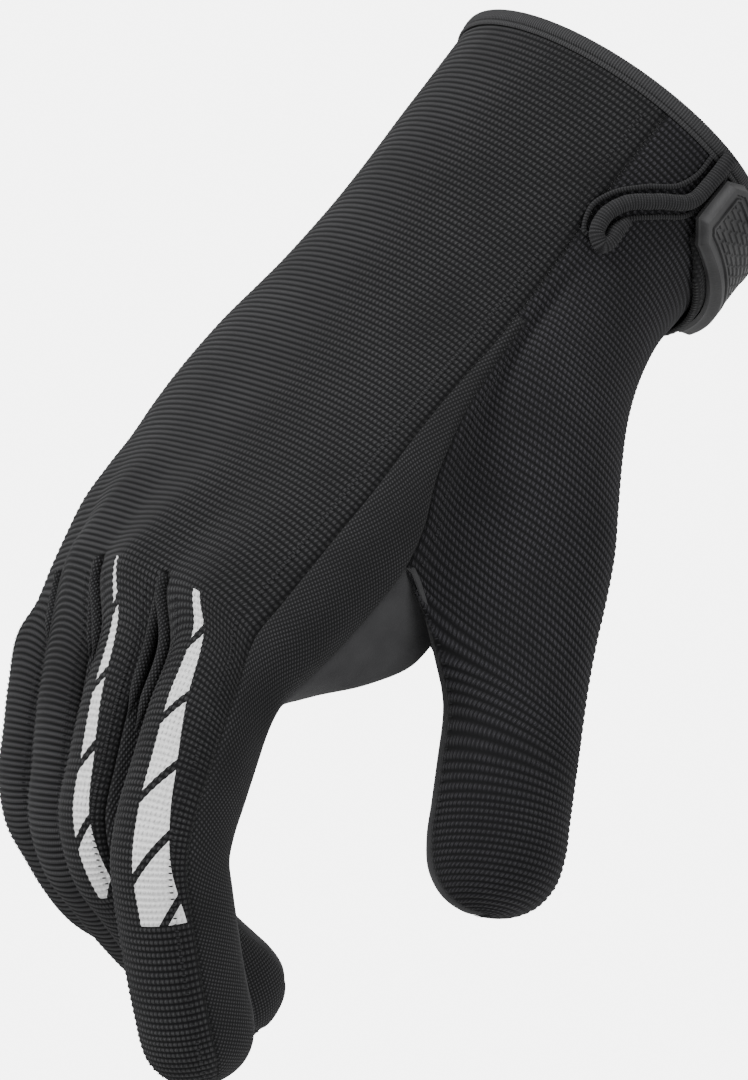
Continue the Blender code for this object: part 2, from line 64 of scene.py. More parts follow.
fingers = [dict(zip(("bones", "width", "depth", "bend", "fan", "turn", "edge"), row)) for row in (
    ((0.33, 0.21, 0.21), 0.9, 0.92, (35, 42, 26), 3, 7, 45),  # little
    ((0.41, 0.28, 0.25), 0.97, 0.98, (36, 50, 15), 5, 5, 45),  # ring
    ((0.405, 0.29, 0.25), 1.01, 1.03, (26, 58, 11), 7, 3, 45),  # middle
    ((0.4, 0.24, 0.235), 1.08, 1.12, (21, 35, 4), 9, -3, 68),  # index
)]
loopRoute = [(26, 0.05), (26, 0.25), (25, 0.39), (14.5, 0.57), (6.3, 0.72), (3.5, 0.87), (4.8, 0.97),
             (8, 0.995), (9.3, 0.95), (9.6, 0.865), (10.9, 0.77)]


def lerp(a, b, t):
    return a + (b - a) * t


def smooth(t):
    t = min(1.0, max(0.0, t))
    return t * t * (3 - 2 * t)


def unit(v):
    v = np.asarray(v, float)
    return v / np.linalg.norm(v)


def unitRows(rows):
    return rows / np.maximum(np.linalg.norm(rows, axis=1, keepdims=True), 1e-9)


def travelled(line):
    return np.concatenate([[0], np.cumsum(np.linalg.norm(np.diff(line, axis=0), axis=1))])


def cubic(a, b, t, step, start, end):
    return ((2 * t ** 3 - 3 * t ** 2 + 1) * a + (t ** 3 - 2 * t ** 2 + t) * step * start
            + (3 * t ** 2 - 2 * t ** 3) * b + (t ** 3 - t ** 2) * step * end)


def monotone(xs, ys, x):
    steps = np.diff(xs)
    slopes = np.diff(ys) / steps
    tangents = np.zeros(len(xs))
    tangents[0], tangents[-1] = slopes[0], slopes[-1]
    for i in range(1, len(xs) - 1):
        if slopes[i - 1] * slopes[i] > 0:
            tangents[i] = 2 * slopes[i - 1] * slopes[i] / (slopes[i - 1] + slopes[i])
    i = int(np.clip(np.searchsorted(xs, x) - 1, 0, len(xs) - 2))
    t = (x - xs[i]) / steps[i]
    return cubic(ys[i], ys[i + 1], t, steps[i], tangents[i], tangents[i + 1])


def section(down):
    stations = [row["down"] for row in sections]
    return {key: float(monotone(stations, [row[key] for row in sections], down)) for key in sections[0]}


def sectionPoint(row, angle):
    halfWidth = lerp(hand["wristWidth"], hand["palmWidth"], row["width"]) / 2
    halfDepth = row["depth"] * hand["wristDepth"] / 2
    power = 2 / lerp(2.0, 2.45, min(1.0, max(0.0, row["width"])))
    s, c = math.sin(math.radians(angle)), math.cos(math.radians(angle))
    across = math.copysign(abs(s) ** power, s)
    deep = -math.copysign(abs(c) ** power, c)
    x = row["shift"] * hand["palmWidth"] + halfWidth * across
    y = (deep + 1) * halfDepth - row["back"] * hand["wristDepth"] / 2
    y += row["arch"] * hand["wristDepth"] * (across - hand["archCentre"]) ** 2
    z = -binding["height"] - row["down"] * hand["length"] - row["lean"] * hand["wristDepth"] * (deep + 1) / 2
    return np.array([x, y, z])


def arc(row, first, last, shares):
    samples = [sectionPoint(row, lerp(first, last, k / 60)) for k in range(61)]
    travelled = np.cumsum([0.0] + [np.linalg.norm(b - a) for a, b in zip(samples, samples[1:])])
    places = np.interp(np.array(shares) * travelled[-1], travelled, np.linspace(first, last, 61))
    return [sectionPoint(row, angle) for angle in places]


def fingerShares(fingers):
    widths = [finger["width"] for finger in fingers for _ in range(4)]
    return np.concatenate([[0.0], np.cumsum(widths) / sum(widths)])


def evenShares(count):
    return np.linspace(0, 1, count + 1)


def bodyRing(down):
    row = section(down)
    edge = row["seam"] + row["side"]
    ring = arc(row, hand["ulnarSeam"], row["seam"], fingerShares(fingers))
    ring += arc(row, row["seam"], edge, evenShares(4))[1:]
    ring += arc(row, edge, row["palm"], evenShares(thumb["columns"]))[1:]
    ring += arc(row, row["palm"], hand["palmEnd"], fingerShares(fingers[2::-1]))[1:]
    ring += arc(row, hand["palmEnd"], 360 + hand["ulnarSeam"], evenShares(4))[1:4]
    for j in range(17):
        knuckle = math.sin(math.pi * (j % 4) / 4) ** 2 - 0.3
        ring[j][1] -= row["ridge"] * hand["wristDepth"] * knuckle
    return ring


def webPoints(down, bulge):
    row = section(down)
    edge = row["seam"] + row["side"]
    points = []
    for j, point in enumerate(arc(row, edge, row["palm"], evenShares(4))[1:4], start=1):
        target = thumbAtHeight(math.radians(thumb["seams"][1] + 35), 1.0, point[2])
        point = lerp(point, target, bulge * math.sin(math.pi * j / 4))
        points.append(point)
    return points


def thumbAxes():
    aim = unit(thumb["aim"])
    pad = -unit(np.array(thumb["nailSide"]) - aim * np.dot(thumb["nailSide"], aim))
    return aim, np.cross(aim, pad), pad


def thumbBase():
    x, y, z = thumb["base"]
    return np.array([x * hand["palmWidth"], y * hand["wristDepth"], z * hand["length"]])


def thumbOffset(angle, size):
    _, outer, pad = thumbAxes()
    return size * (thumb["width"] / 2 * math.sin(angle) * outer - thumb["depth"] / 2 * math.cos(angle) * pad)


def thumbAtHeight(angle, size, z):
    aim, _, _ = thumbAxes()
    base, offset = thumbBase(), thumbOffset(angle, size)
    return base + offset + aim * (z - base[2] - offset[2]) / aim[2]


def swellThumb(ring, down, fade=1.0):
    first, last = thumb["swell"]
    weight = fade * smooth((down - first) / (last - first))
    size = lerp(thumb["ball"], 1.0, smooth((down - 0.30) / 0.45))
    for k in range(1, thumb["columns"] + 2):
        angle = math.radians(lerp(thumb["seams"][0], thumb["seams"][1], k / thumb["columns"]))
        target = thumbAtHeight(angle, size, ring[20 + k][2])
        share = weight * smooth(min(k / 2.6, (thumb["columns"] - k + 1.9) / 4.5))
        ring[20 + k] = lerp(ring[20 + k], target, share)
    return ring


class FingerLine:
    def __init__(self, finger, start):
        self.finger = finger
        self.bones = [share * fingerSize["length"] for share in finger["bones"]]
        self.length = sum(self.bones)
        self.along = np.linspace(-0.25 * self.length, 1.25 * self.length, 241)
        step = self.along[1] - self.along[0]
        moves = np.array([self.frame(s + step / 2)[0] * step for s in self.along[:-1]])
        self.points = np.vstack([np.zeros(3), np.cumsum(moves, axis=0)])
        self.points += start - self.at(0.0)

    def flexion(self, s):
        joints = (0.03 * self.length, self.bones[0], self.bones[0] + self.bones[1])
        reach = (0.15 * self.length, 0.09 * self.length, 0.07 * self.length)
        return math.radians(sum(bend * smooth((s - joint + r) / (2 * r))
                                for bend, joint, r in zip(self.finger["bend"], joints, reach)))

    def frame(self, s):
        bend = self.flexion(s)
        fan, turn = math.radians(self.finger["fan"]), math.radians(self.finger["turn"])
        straight = np.array([math.sin(fan), 0.0, -math.cos(fan)])
        curl = np.array([math.sin(turn), math.cos(turn), 0.0])
        aim = unit(math.cos(bend) * straight + math.sin(bend) * curl)
        palm = -math.sin(bend) * straight + math.cos(bend) * curl
        palm = unit(palm - aim * palm.dot(aim))
        return aim, palm, np.cross(aim, palm)

    def at(self, s):
        return np.array([np.interp(s, self.along, self.points[:, k]) for k in range(3)])


def fingerAngles(finger):
    back = [lerp(-45, finger["edge"], k / 4) for k in range(5)]
    side = [lerp(finger["edge"], 135, k / 4) for k in (1, 2, 3)]
    return [math.radians(a) for a in back + side + [135 + 22.5 * k for k in range(8)]]


def wristPoint(angle, below, lift):
    down = (below - binding["height"]) / hand["length"]
    row = section(max(0.0, down))
    point = sectionPoint(row, angle)
    side = sectionPoint(row, angle + 1) - sectionPoint(row, angle - 1)
    outward = unit([-side[1], side[0], 0.0])
    if outward.dot([math.sin(math.radians(angle)), -math.cos(math.radians(angle)), 0]) < 0:
        outward = -outward
    point[2] = -below
    return point + outward * lift


def thumbRings(opening):
    aim, _, _ = thumbAxes()
    radius = thumb["width"] / 2
    straight = thumb["length"] - radius
    first, last = thumb["seams"]
    steps = [lerp(first, last, k / thumb["columns"]) for k in range(thumb["columns"] + 1)]
    steps += [lerp(last, first + 360, k / 4) for k in (1, 2, 3)]
    profile = [(straight * share, 1.0) for share in thumb["rows"]]
    for cap in thumb["tipSteps"]:
        a = math.radians(cap)
        profile.append((straight + radius * math.sin(a), math.cos(a) ** 0.8))
    rings = [opening]
    for along, size in profile:
        points = []
        share = smooth(0.35 + along / (thumb["webFade"] * thumb["length"]))
        for angle, start in zip(np.radians(steps), opening):
            offset = thumbOffset(angle, size)
            level = -offset[2] / aim[2] * (1 - smooth(along / (0.63 * thumb["length"])))
            goal = thumbBase() + aim * (along + level) + offset
            points.append(lerp(start + aim * (goal - start).dot(aim), goal, share))
        rings.append(points)
    return rings + [[thumbBase() + aim * thumb["length"]] * 16]


def fingerRings(number, opening):
    finger = fingers[number]
    width, depth = fingerSize["width"] * finger["width"], fingerSize["depth"] * finger["depth"]
    line = FingerLine(finger, sum(opening) / len(opening))
    radius = width / 2
    tip = line.length - radius
    profile = []
    for m in range(fingerSize["rows"]):
        along = lerp(0.12 * line.length, tip - 0.04 * line.length, m / (fingerSize["rows"] - 1))
        profile.append((along, lerp(1.0, fingerSize["taper"], along / tip)))
    for cap in fingerSize["tipSteps"]:
        a = math.radians(cap)
        profile.append((tip + radius * math.sin(a), fingerSize["taper"] * math.cos(a) ** 0.85))
    rings = []
    power = 2 / 2.2
    for along, size in profile:
        lean = 0.5 * depth * (1 - smooth(along / (0.38 * line.length)))
        points = []
        for angle in fingerAngles(finger):
            s, c = math.sin(angle), math.cos(angle)
            place = along - c * lean
            _, palm, thumbward = line.frame(place)
            across = math.copysign(abs(s) ** power, s) * width / 2
            deep = math.copysign(abs(c) ** power, c) * depth / 2
            points.append(line.at(place) + size * (across * thumbward - deep * palm))
        rings.append(points)
    return rings + [[line.at(line.length)] * 16]


def handRings():
    rows, webRow = hand["rows"], hand["webRow"]
    upper = [swellThumb(bodyRing(i / rows), i / rows) for i in range(webRow + 1)]
    web = webPoints(webRow / rows, thumb["webBulge"])
    opening = upper[-1][20:33] + web[::-1]
    lower = [upper[-1][:21] + web + upper[-1][32:]]
    for i in range(webRow + 1, rows + 1):
        fade = 1 - smooth((i - webRow + 0.4) / 4.4)
        full = swellThumb(bodyRing(i / rows), i / rows, fade)
        lower.append(full[:21] + webPoints(i / rows, thumb["webBulge"] * fade) + full[32:])
    last = lower[-1]
    crotches = [[lerp(last[4 + 4 * n], last[32 - 4 * n], k / 4) for k in range(5)] for n in range(3)]
    digits = []
    for n in range(4):
        start = 32 - 4 * n
        thumbward = last[17:20] if n == 3 else crotches[n][1:4]
        outside = last[37:40] if n == 0 else crotches[n - 1][3:0:-1]
        fingerOpening = last[4 * n:4 * n + 5] + thumbward + last[start:start + 5] + outside
        digits.append(fingerRings(n, fingerOpening))
    return upper, lower, crotches, digits, thumbRings(opening)


def through(a, b, c, d, t, startShare=1.0, endShare=1.0):
    # smooth curve from b to c whose slopes follow the chords, so that uneven steps don't swing it
    first, step, last = (np.maximum(np.linalg.norm(y - x, axis=-1, keepdims=True), 1e-7)
                         for x, y in ((a, b), (b, c), (c, d)))
    start = startShare * (first * (c - b) / step + step * (b - a) / first) / (first + step)
    end = endShare * (step * (d - c) / last + last * (c - b) / step) / (step + last)
    return cubic(b, c, t, step, start, end)


def alongRing(points, params, closed=True):
    # the curve through a ring's points, at places counted in points
    points = np.asarray(points)
    if not closed:
        points = np.vstack([2 * points[0] - points[1], points, 2 * points[-1] - points[-2]])
        params = np.asarray(params) + 1
    count = len(points)
    base = np.floor(np.asarray(params) + 1e-9).astype(int)
    t = (np.asarray(params) - base)[:, None]
    if not closed:
        over = base >= count - 2
        base = np.where(over, count - 3, base)
        t = np.where(over[:, None], 1.0, t)
    a, b, c, d = (points[(base + k) % count] for k in (-1, 0, 1, 2))
    return through(a, b, c, d, t)


sharpSlope = 0.15


def strip(rows, fineAcross, fineDown, poleStart=False, poleEnd=False, fold=-9):
    # rows: (ring, first place, span, closed), with a sharp turn at the row named by fold
    lines, mirrored = [], []
    for ring, first, span, closed in rows:
        params = first + np.sign(span) * np.linspace(0, abs(span), abs(span) * fineAcross + 1)
        lines.append(alongRing(ring, params, closed))
        mirrored.append(alongRing(ring, params + len(ring) / 2, closed) if closed else lines[-1])
    lines = np.array(lines)
    before = mirrored[1] if poleStart else 2 * lines[0] - lines[1]
    after = mirrored[-2] if poleEnd else 2 * lines[-1] - lines[-2]
    padded = np.concatenate([[before], lines, [after]])
    places = np.linspace(0, len(lines) - 1, (len(lines) - 1) * fineDown + 1)
    base = np.minimum(np.floor(places + 1e-9).astype(int), len(lines) - 2)
    t = (places - base)[:, None, None]
    a, b, c, d = (padded[base + k] for k in (0, 1, 2, 3))
    # a narrow strip turns sharply there all over, a wide one only along its edges
    wide = lines.shape[1] > 6 * fineAcross
    column = np.arange(lines.shape[1])
    edge = np.minimum(column, column[::-1]) / (1.5 * fineAcross)
    least = sharpSlope + (1 - sharpSlope) * np.minimum(edge, 1.0)[None, :, None] * wide
    startShare, endShare = (np.where((row == fold)[:, None, None], least, 1.0) for row in (base, base + 1))
    return through(a, b, c, d, t, startShare, endShare), places


def joinStrips(left, right, count):
    # the shared edge of two neighbours in one panel becomes the same line
    shift = (right[:count, 0] - left[:count, -1]) / 2
    across = np.linspace(0, 1, left.shape[1])[None, :, None]
    left[:count] += shift[:, None] * across
    right[:count] -= shift[:, None] * (1 - np.linspace(0, 1, right.shape[1]))[None, :, None]


def acrossLength(grid):
    steps = np.linalg.norm(np.diff(grid, axis=1), axis=2)
    total = np.concatenate([np.zeros((len(grid), 1)), np.cumsum(steps, axis=1)], axis=1)
    return total - total[:, -1:] / 2, total[:, -1]


def downLength(grid):
    steps = np.linalg.norm(np.diff(grid, axis=0), axis=2).mean(axis=1)
    return np.concatenate([[0], np.cumsum(steps)])


def panelMesh(name, strips, height=None, pull=0.00040, reach=0.0007):
    # strips: (grid, across, down, mark). One welded surface, pulled in along its seams.
    points, uvs, marks, faces = [], [], [], []
    for grid, across, down, mark in strips:
        start = sum(len(p) for p in points)
        rows, columns = grid.shape[:2]
        points.append(grid.reshape(-1, 3))
        uvs.append(np.stack([across, down], axis=2).reshape(-1, 2))
        marks.append(mark.reshape(-1, 3))
        index = start + np.arange(rows * columns).reshape(rows, columns)
        corners = [index[:-1, :-1], index[1:, :-1], index[1:, 1:], index[:-1, 1:]]
        faces.append(np.stack(corners, 2).reshape(-1, 4))
    points, uvs, marks, faces = (np.concatenate(x) for x in (points, uvs, marks, faces))
    mesh = bpy.data.meshes.new(name)
    mesh.from_pydata(points.tolist(), [], faces.tolist())
    layer = mesh.uv_layers.new(name="cloth")
    corner = np.zeros(len(mesh.loops), dtype=np.int32)
    mesh.loops.foreach_get("vertex_index", corner)
    layer.data.foreach_set("uv", uvs[corner].ravel())
    for key, values in (("mark", marks), ("place", np.concatenate([uvs, uvs[:, :1] * 0], axis=1))):
        made = mesh.attributes.new(key, "FLOAT_VECTOR", "POINT")
        made.data.foreach_set("vector", values.ravel())
    bm = bmesh.new()
    bm.from_mesh(mesh)
    bmesh.ops.remove_doubles(bm, verts=bm.verts, dist=0.00002)
    bmesh.ops.dissolve_degenerate(bm, edges=bm.edges, dist=0.000005)
    bm.normal_update()
    edge = [v for v in bm.verts if v.is_boundary]
    tree = KDTree(len(edge))
    for k, v in enumerate(edge):
        tree.insert(v.co, k)
    tree.balance()
    place = bm.verts.layers.float_vector["place"]
    seam = bm.verts.layers.float.new("seam")
    moves = []
    for v in bm.verts:
        distance = tree.find(v.co)[2]
        v[seam] = distance
        lift = -pull * math.exp(-(distance / reach) ** 2)
        if height:
            lift += height(v[place][0], v[place][1]) * min(1.0, distance / 0.0008)
        moves.append(v.normal * lift)
    for v, move in zip(bm.verts, moves):
        v.co += move
    bm.to_mesh(mesh)
    bm.free()
    mesh.shade_smooth()
    return mesh


def addObject(name, data):
    made = bpy.data.objects.new(name, data)
    bpy.context.scene.collection.objects.link(made)
    return made


def addPiece(name, mesh, material, wall=0.0):
    piece = addObject(name, mesh)
    mesh.materials.clear()
    mesh.materials.append(material)
    if wall:
        shell = piece.modifiers.new("wall", "SOLIDIFY")
        shell.thickness = wall
        shell.offset = -1
    return piece


def closedPiece(name, bm, material):
    bmesh.ops.recalc_face_normals(bm, faces=bm.faces)
    mesh = bpy.data.meshes.new(name)
    bm.to_mesh(mesh)
    bm.free()
    mesh.shade_smooth()
    return addPiece(name, mesh, material)


class Value:
    # a shader socket that adds its own Math nodes
    def __init__(self, tree, socket):
        self.tree, self.socket = tree, socket

    def math(self, operation, *others):
        return self.tree.node("Math", dict(operation=operation), self, *others)

    def __add__(self, other):
        return self.math("ADD", other)

    def __sub__(self, other):
        return self.math("SUBTRACT", other)

    def __rsub__(self, other):
        return self.tree.node("Math", dict(operation="SUBTRACT"), other, self)

    def __mul__(self, other):
        return self.math("MULTIPLY", other)

    __radd__ = __add__
    __rmul__ = __mul__


class Shader:
    def __init__(self, name, roughness, **settings):
        self.material = bpy.data.materials.new(name)
        self.material.use_nodes = True
        self.nodes = self.material.node_tree.nodes
        self.links = self.material.node_tree.links
        self.principled = self.nodes["Principled BSDF"]
        self.principled.inputs["Roughness"].default_value = roughness
        self.principled.inputs["Specular IOR Level"].default_value = 0.18
        for key, value in settings.items():
            self.principled.inputs[key.replace("_", " ")].default_value = value

    def link(self, source, socket):
        if isinstance(source, Value):
            self.links.new(source.socket, socket)
        elif source is not None:
            socket.default_value = source

    def node(self, kind, settings, *inputs, out=0, **named):
        made = self.nodes.new("ShaderNode" + kind)
        for key, value in settings.items():
            setattr(made, key, value)
        for k, source in enumerate(inputs):
            self.link(source, made.inputs[k])
        for key, source in named.items():
            self.link(source, made.inputs[key.replace("_", " ")])
        return Value(self, made.outputs[out])

    def place(self):
        uv = self.node("UVMap", dict(uv_map="cloth"))
        split = self.node("SeparateXYZ", {}, uv)
        return split, Value(self, split.socket.node.outputs[1])

    def attribute(self, name):
        made = self.node("Attribute", dict(attribute_name=name))
        return Value(self, made.socket.node.outputs["Fac"])

    def spot(self):
        return Value(self, self.node("TexCoord", {}).socket.node.outputs["Object"])

    def noise(self, scale, detail=4.0):
        return self.node("TexNoise", {}, Vector=self.spot(), Scale=scale, Detail=detail)

    def remap(self, value, *ends):
        # fromMin, fromMax, toMin, toMax
        return self.node("MapRange", {}, value, *ends)

    def wave(self, value, period):
        # 0 in the groove to 1 on the ridge
        return (value * (2 * math.pi / period)).math("COSINE") * 0.5 + 0.5

    def mix(self, share, dark, light):
        made = self.nodes.new("ShaderNodeMix")
        made.data_type = "RGBA"
        self.link(share, made.inputs[0])
        for slot, colour in ((6, dark), (7, light)):
            self.link(colour if isinstance(colour, Value) else (*colour, 1), made.inputs[slot])
        return Value(self, made.outputs[2])

    def finish(self, colour, height=None, depth=0.0002, roughness=None):
        self.link(colour, self.principled.inputs["Base Color"])
        if height is not None:
            bump = self.node("Bump", {}, Height=height, Strength=1.0, Distance=depth)
            self.link(bump, self.principled.inputs["Normal"])
        if roughness is not None:
            self.link(roughness, self.principled.inputs["Roughness"])
        return self.material


knit = dict(rib=0.00130, ribDepth=0.00026, stitch=0.00052, wale=0.00098, wall=0.0012)


def ribCounts(rows):
    # how many ribs lie between one ring and the next
    middle = [alongRing(ring, [first + span / 2], closed)[0] for ring, first, span, closed in rows]
    return [max(1, round(np.linalg.norm(b - a) / knit["rib"])) for a, b in zip(middle, middle[1:])]


def knitStrip(rows, fineAcross, bodyRows, pole=True, fold=-9):
    counts = ribCounts(rows)
    counts = [6 if i < bodyRows else n for i, n in enumerate(counts)]
    grid, places = strip(rows, fineAcross, 120, poleEnd=pole, fold=fold)
    picks, ribs = [], []
    total = 0
    for i, n in enumerate(counts):
        for k in range(4 * n):
            picks.append(i * 120 + round(120 * k / (4 * n)))
            ribs.append(total + k / 4)
        total += n
    picks.append(len(counts) * 120)
    ribs.append(total)
    return grid[picks], np.array(ribs) * knit["rib"], 24 * bodyRows + 1


def plainStrip(rows, fineAcross=4, fineDown=6, poleStart=False, poleEnd=True, fold=-9):
    grid, _ = strip(rows, fineAcross, fineDown, poleStart, poleEnd, fold)
    return grid, downLength(grid)


def dressed(grid, down, shift=0.0, mark=None):
    across, _ = acrossLength(grid)
    across = across + (shift if np.isscalar(shift) else shift[:, None])
    rows = np.repeat(down[:, None], grid.shape[1], axis=1)
    if mark is None:
        mark = np.zeros((*across.shape, 3))
    return grid, across, rows, mark


upper, lower, crotches, digits, thumbRingList = handRings()
bodyCount = hand["rows"]


def bodyRows(first, lowerFirst, span, start=0):
    rows = [(upper[i], first, span, True) for i in range(start, hand["webRow"] + 1)]
    return rows + [(lower[k], lowerFirst, span, True) for k in range(1, len(lower))]


def digitRows(n, first, span):
    return [(ring, first, span, True) for ring in digits[n]]


def knitHeight(u, v):
    return knit["ribDepth"] * 0.5 * (math.cos(2 * math.pi * v / knit["rib"]) - 1)


print("back panel")
backGrids = []
for n in range(4):
    rows = bodyRows(4 * n, 4 * n, 4) + digitRows(n, 0, 4)
    backGrids.append(list(knitStrip(rows, 3, bodyCount)))
bodyLines = backGrids[0][2]
for n in range(3):
    joinStrips(backGrids[n][0], backGrids[n + 1][0], bodyLines)
widths = [acrossLength(g[0])[1][:bodyLines] for g in backGrids]
centres = [-widths[1] - widths[0] / 2, -widths[1] / 2, widths[2] / 2, widths[2] + widths[3] / 2]
backStrips = []
for n, (grid, down, _) in enumerate(backGrids):
    shift = np.concatenate([centres[n], np.full(len(grid) - bodyLines, centres[n][-1])])
    across, _ = acrossLength(grid)
    mark = np.zeros((*across.shape, 3))
    mark[..., 0] = across
    mark[..., 1] = (down - down[bodyLines - 1])[:, None]
    mark[..., 2] = (0, 0, 1, 2)[n]
    backStrips.append(dressed(grid, down, shift, mark))

print("thumb panel")
thumbRows = [(upper[i], 20, 12, True) for i in range(hand["webRow"])]
thumbRows += [(ring, 0, 12, True) for ring in thumbRingList]
thumbGrid, thumbDown, _ = knitStrip(thumbRows, 4, hand["webRow"], fold=hand["webRow"])
upperRows = [(upper[i], 16, 4, True) for i in range(hand["gussetRow"] + 1)]
sideGrid, sideDown, _ = knitStrip(upperRows, 4, hand["gussetRow"], pole=False)
sideLines = len(sideGrid)
joinStrips(sideGrid, thumbGrid, sideLines)
sideShift = -acrossLength(thumbGrid)[1][:sideLines] / 2 - acrossLength(sideGrid)[1] / 2
thumbStrips = [dressed(thumbGrid, thumbDown), dressed(sideGrid, sideDown, sideShift)]

print("palm and gussets")
palmGrids = []
for n in (2, 1, 0):
    palmGrids.append(plainStrip(bodyRows(40 - 4 * n, 32 - 4 * n, 4) + digitRows(n, 8, 4)))
palmGrids.append(plainStrip(bodyRows(44, 36, 4) + digitRows(0, 12, 4)))
palmBody = 6 * bodyCount + 1
for left, right in zip(palmGrids, palmGrids[1:]):
    joinStrips(left[0], right[0], palmBody)
joinStrips(palmGrids[2][0], palmGrids[3][0], min(len(palmGrids[2][0]), len(palmGrids[3][0])))
palmStrips = [dressed(grid, down) for grid, down in palmGrids]
webRows = [(ring, 16, -4, True) for ring in thumbRingList[:0:-1]] + [(ring, 20, 4, True) for ring in lower]
webStrip = plainStrip(webRows + digitRows(3, 8, 4), poleStart=True, fold=len(thumbRingList) - 1)
palmStrips.append(dressed(*webStrip))
sideRows = bodyRows(16, 16, 4, start=hand["gussetRow"]) + digitRows(3, 4, 4)
indexSide = [dressed(*plainStrip(sideRows))]
gussets = []
for n in range(3):
    rows = [(ring, 8, -4, True) for ring in digits[n][::-1]] + [(crotches[n], 4, -4, False)]
    rows += [(ring, 12, 4, True) for ring in digits[n + 1]]
    gussets.append([dressed(*plainStrip(rows, poleStart=True))])

print("cloth materials")
# the knit's groove colour is painted shade: the knit darkens towards it in its rib grooves
cloth = dict(ridge=(0.062, 0.062, 0.065), paintedGrooveShade=(0.0035, 0.0035, 0.004), printWhite=(0.84, 0.84, 0.84),
             elastic=(0.055, 0.055, 0.057))


def knitMaterial(name, wales, tint, printed, lower=1.0):
    s = Shader(name, 0.85, Sheen_Weight=0.05, Sheen_Roughness=0.5)
    u, v = s.place()
    rib = s.wave(v, knit["rib"])
    wobble = s.noise(900, 2)
    teeth = s.wave(u + v * 0.35 + wobble * 0.00012, knit["stitch"])
    fine = s.wave(u - v * 0.8, knit["stitch"] * 0.5)
    blocks = s.wave(u + wobble * 0.0002, knit["wale"]).math("POWER", 0.8)
    share = s.remap(u, wales[0], wales[1], 0.0, 1.0)
    cut = 1 - (1 - blocks) * share
    # the colour follows the rib and stitch relief: rib grooves, wale cuts and gaps between stitches are
    # painted shade
    body = rib.math("POWER", 1.2) * (0.40 + teeth * 0.42 + fine * 0.18) * (0.12 + cut * 0.88)
    cloudy = s.remap(s.noise(60, 5), 0.3, 0.7, 0.75, 1.2)
    # painted shade along the panel seams: the knit is up to four times darker at the panel edge
    seam = s.remap(s.attribute("seam"), 0.0001, 0.0009, 0.25, 1.0)
    deep = s.remap(v, 0.100, 0.118, 1.0, lower)
    shade = s.mix((body * cloudy * seam * deep).math("MINIMUM", 1.0), cloth["paintedGrooveShade"], tint)
    if printed:
        mark = s.node("Attribute", dict(attribute_name="mark"), out=1)
        split = s.node("SeparateXYZ", {}, mark)
        side, down, which = (Value(s, split.socket.node.outputs[k]) for k in range(3))
        index = which.math("GREATER_THAN", 1.5)
        middle = which.math("GREATER_THAN", 0.5) - index
        along = s.remap(down, -0.006, 0.070, 0.0, 1.0)
        line = side - (along * 0.0085 - 0.0035)
        half = (0.0006 + along * 0.0042) * (index + middle * 0.55)
        inside = (half - line.math("ABSOLUTE")).math("GREATER_THAN", 0.0)
        ends = down.math("GREATER_THAN", 0.0015) * down.math("LESS_THAN", 0.0695)
        cuts = s.wave(down + side * 1.4, 0.0170).math("GREATER_THAN", 0.06)
        worn = s.remap(s.noise(1500, 3) + rib * 0.5, 0.35, 0.60, 0.75, 1.0)
        white = inside * ends * cuts * worn * (index + middle)
        shade = s.mix(white, shade, cloth["printWhite"])
    return s.finish(shade, body, 0.00045, 0.93 - body * 0.2)


def meshMaterial(name):
    s = Shader(name, 0.8, Sheen_Weight=0.04)
    u, v = s.place()
    dots = s.wave(u + v * 0.5, 0.0008) * s.wave(v - u * 0.5, 0.0008)
    cloudy = s.remap(s.noise(80, 4), 0.3, 0.7, 0.7, 1.2)
    shade = s.mix((dots * cloudy).math("MINIMUM", 1.0), (0.006, 0.006, 0.0065), (0.048, 0.048, 0.051))
    return s.finish(shade, dots, 0.0003, 0.9 - dots * 0.2)


def suedeMaterial():
    s = Shader("palm suede", 0.9, Sheen_Weight=0.08, Sheen_Roughness=0.4)
    nap = s.noise(2600, 6)
    brushed = s.noise(130, 5)
    shade = s.mix(brushed, (0.024, 0.024, 0.025), (0.058, 0.058, 0.060))
    return s.finish(shade, nap * 0.6 + brushed * 0.4, 0.00025, 0.78 + nap * 0.2)


def elasticMaterial(name, dark, light):
    s = Shader(name, 0.82, Sheen_Weight=0.06)
    u, v = s.place()
    loops = s.wave(u, binding["rib"]) * (0.6 + s.wave(v, 0.0005) * 0.4)
    worn = s.noise(500, 4)
    return s.finish(s.mix(loops * 0.8 + worn * 0.2, dark, light), loops, 0.0002, 0.9 - loops * 0.15)


def rubberMaterial():
    s = Shader("badge rubber", 0.45, Coat_Weight=0.1)
    grain = s.noise(1800, 4)
    dust = s.remap(s.noise(150, 5), 0.35, 0.75, 0.0, 1.0)
    shade = s.mix(dust, (0.032, 0.032, 0.033), (0.060, 0.060, 0.061))
    return s.finish(shade, grain, 0.00008, 0.42 + dust * 0.25)


def webbingMaterial():
    s = Shader("strap webbing", 0.85, Sheen_Weight=0.05)
    u, v = s.place()
    warp = s.wave(u, 0.0011) * s.wave(v, 0.0007)
    shade = s.mix(warp * 0.7 + s.noise(300, 4) * 0.3, (0.006, 0.006, 0.0065), (0.024, 0.024, 0.025))
    return s.finish(shade, warp, 0.0003, 0.88 - warp * 0.1)


backKnit = knitMaterial("back knit", (-0.004, 0.018), cloth["ridge"], True)
thumbKnit = knitMaterial("thumb knit", (-0.090, -0.075), (0.060, 0.058, 0.067), False, 0.7)
gussetMesh = meshMaterial("gusset mesh")
palmSuede = suedeMaterial()
elastic = elasticMaterial("binding elastic", (0.018, 0.018, 0.019), cloth["elastic"])
loopElastic = elasticMaterial("loop elastic", (0.006, 0.006, 0.0065), (0.036, 0.036, 0.038))
rubber = rubberMaterial()
webbing = webbingMaterial()

print("dressing the hand form")
pieces = {}


